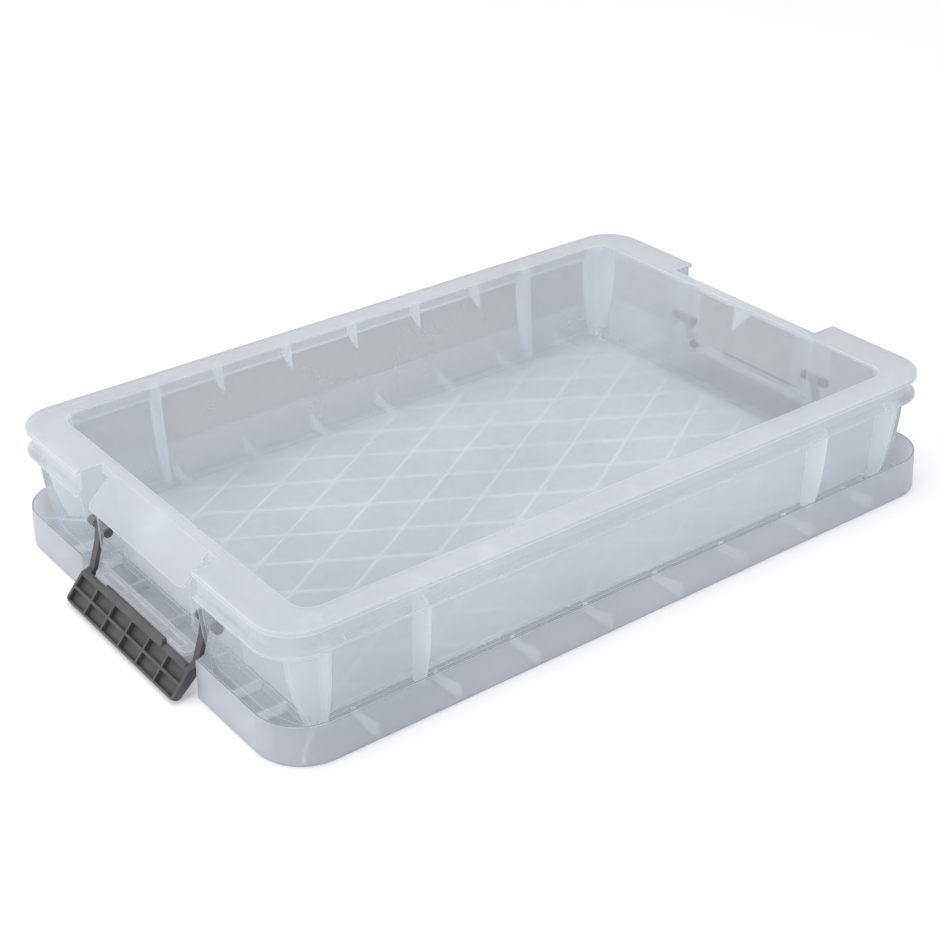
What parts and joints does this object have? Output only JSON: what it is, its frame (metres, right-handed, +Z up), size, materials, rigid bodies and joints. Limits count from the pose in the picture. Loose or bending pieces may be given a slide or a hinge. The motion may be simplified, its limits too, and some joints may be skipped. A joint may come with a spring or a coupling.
{
  "type": "storage box with clip handles",
  "caption": "Flat translucent storage box standing open in its upturned lid, with dark swing handles at the short ends that clip the lid shut.",
  "frame": {"origin": "on the ground under the middle of the box", "axes": "+X along the box, towards the right-hand handle; +Y across it, away from the front long side; +Z up"},
  "size_m": [0.636, 0.3904, 0.0993],
  "materials": {
    "clear_plastic": "frosted, see-through",
    "dark_plastic": "satin dark grey"
  },
  "bodies": {
    "lid": {"lid": "clear_plastic"},
    "tub": {"tub": "clear_plastic"},
    "handle_left": {"handle_left": "dark_plastic"},
    "handle_right": {"handle_right": "dark_plastic"}
  },
  "joints": [
    {"name": "tub_lift", "type": "slide", "parent": "lid", "child": "tub", "axis": [0, 0, 1], "range_m": [0, 0.15]},
    {"name": "handle_left_swing", "type": "hinge", "parent": "tub", "child": "handle_left", "pos_m": [-0.2848, 0, 0.0532], "axis": [0, 1, 0], "range_deg": [0, 128]},
    {"name": "handle_right_swing", "type": "hinge", "parent": "tub", "child": "handle_right", "pos_m": [0.2848, 0, 0.0532], "axis": [0, -1, 0], "range_deg": [0, 128]}
  ]
}
